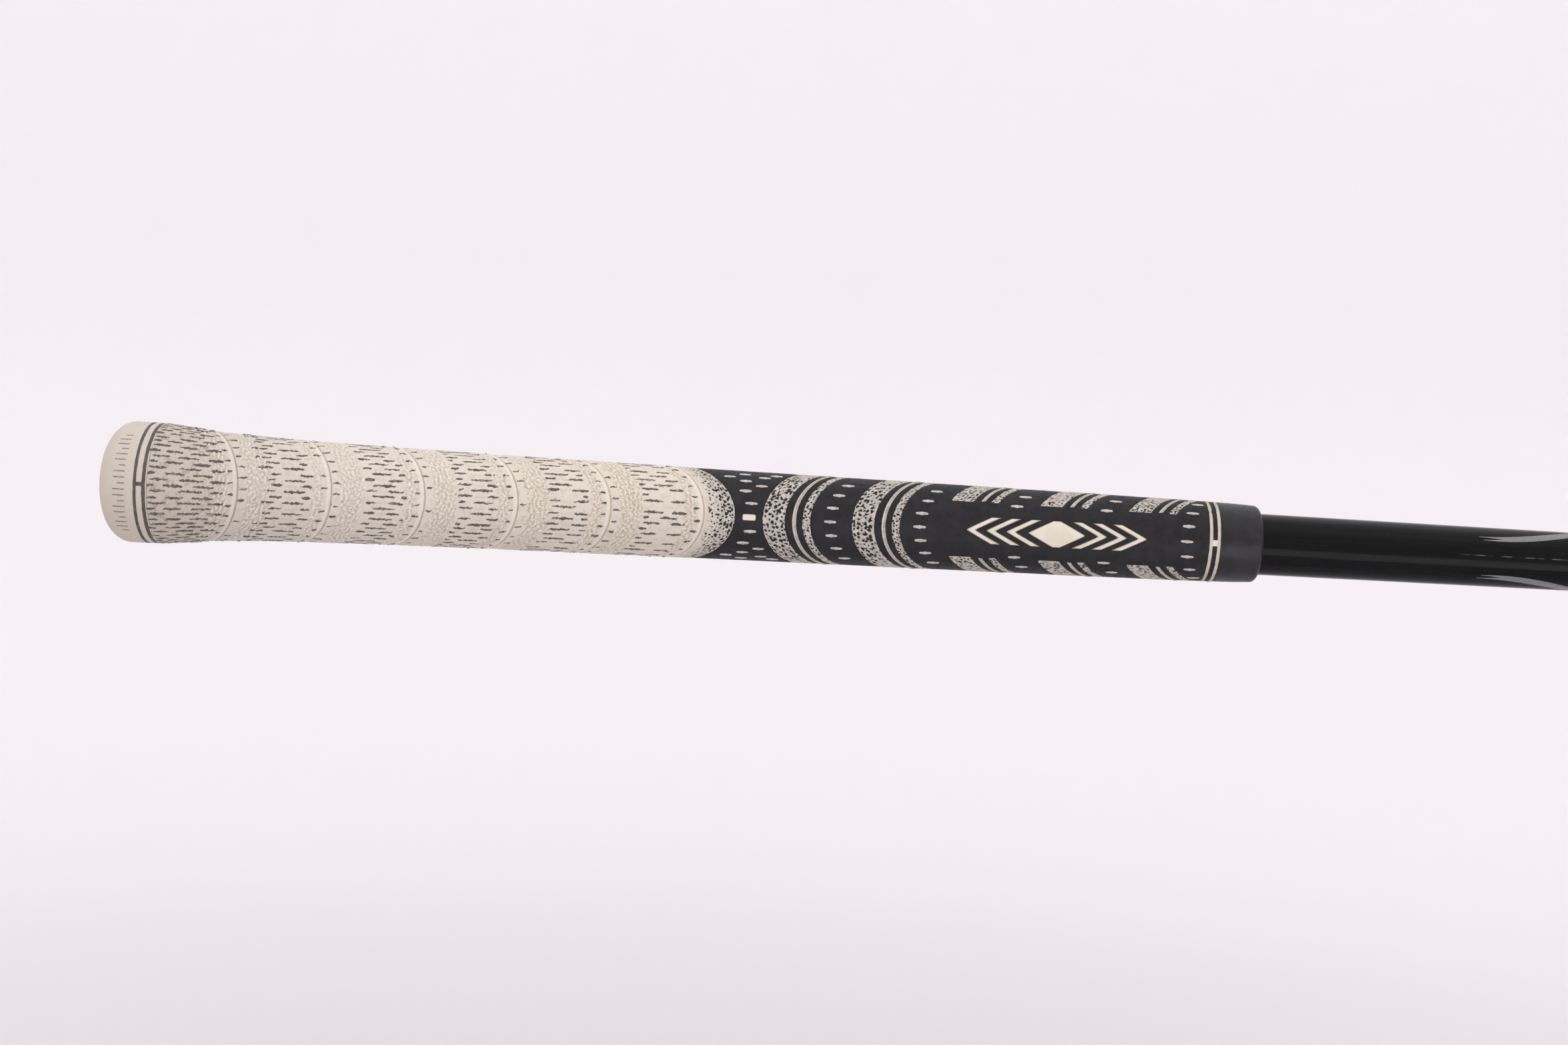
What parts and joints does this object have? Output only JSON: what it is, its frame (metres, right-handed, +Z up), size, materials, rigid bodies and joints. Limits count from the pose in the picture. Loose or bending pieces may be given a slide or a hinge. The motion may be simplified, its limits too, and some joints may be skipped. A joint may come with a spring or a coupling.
{
  "type": "golf grip on a shaft butt",
  "caption": "Corded two-tone golf grip with butt cap, ribbed and knurled sleeves and inlaid bands, slid over the taped butt of a hollow shaft.",
  "frame": {"origin": "on the grip's axis, at the middle of the whole assembly's length", "axes": "+X along the axis from the butt cap to the mouth and the shaft, -Y out of the front with the alignment marks, +Z up"},
  "size_m": [0.349, 0.0284, 0.0284],
  "materials": {
    "cream_rubber": "matte moulded off-white rubber",
    "black_rubber": "matte moulded black rubber",
    "black_cord": "dark cotton cord showing as short flecks",
    "cream_paint": "cream paint fill on moulded texture",
    "grey_paint": "dark grey paint fill",
    "shaft_black": "gloss black",
    "tape_tan": "tan double-sided grip tape"
  },
  "bodies": {
    "shaft": {"shaft_butt": "shaft_black", "grip_tape": "tape_tan"},
    "grip": {"alignment_mark": "cream_paint", "butt_cap": "cream_rubber", "cap_ring_1": "grey_paint", "cap_ring_2": "grey_paint", "cap_ring_link": "grey_paint", "cord_ply": "black_cord", "crescent_line_1": "cream_paint", "crescent_line_2": "cream_paint", "crescent_line_3": "cream_paint", "crescent_line_4": "cream_paint", "crescent_line_5": "cream_paint", "crescent_narrow_1": "cream_paint", "crescent_narrow_2": "cream_paint", "crescent_narrow_3": "cream_paint", "crescent_narrow_4": "cream_paint", "crescent_narrow_5": "cream_paint", "crescent_wide_1": "cream_paint", "crescent_wide_2": "cream_paint", "crescent_wide_3": "cream_paint", "crescent_wide_4": "cream_paint", "crescent_wide_5": "cream_paint", "emblem_chevron_cap_1": "cream_paint", "emblem_chevron_cap_2": "cream_paint", "emblem_chevron_cap_3": "cream_paint", "emblem_chevron_mouth_1": "cream_paint", "emblem_chevron_mouth_2": "cream_paint", "emblem_chevron_mouth_3": "cream_paint", "emblem_lozenge": "cream_paint", "joint_crescent": "cream_paint", "lower_sleeve": "black_rubber", "mouth_ring_1": "cream_paint", "mouth_ring_2": "cream_paint", "mouth_ring_link": "cream_paint", "upper_sleeve": "cream_rubber"}
  },
  "joints": [
    {"name": "grip_slide", "type": "slide", "parent": "shaft", "child": "grip", "axis": [-1, 0, 0], "range_m": [0, 0.27]}
  ]
}
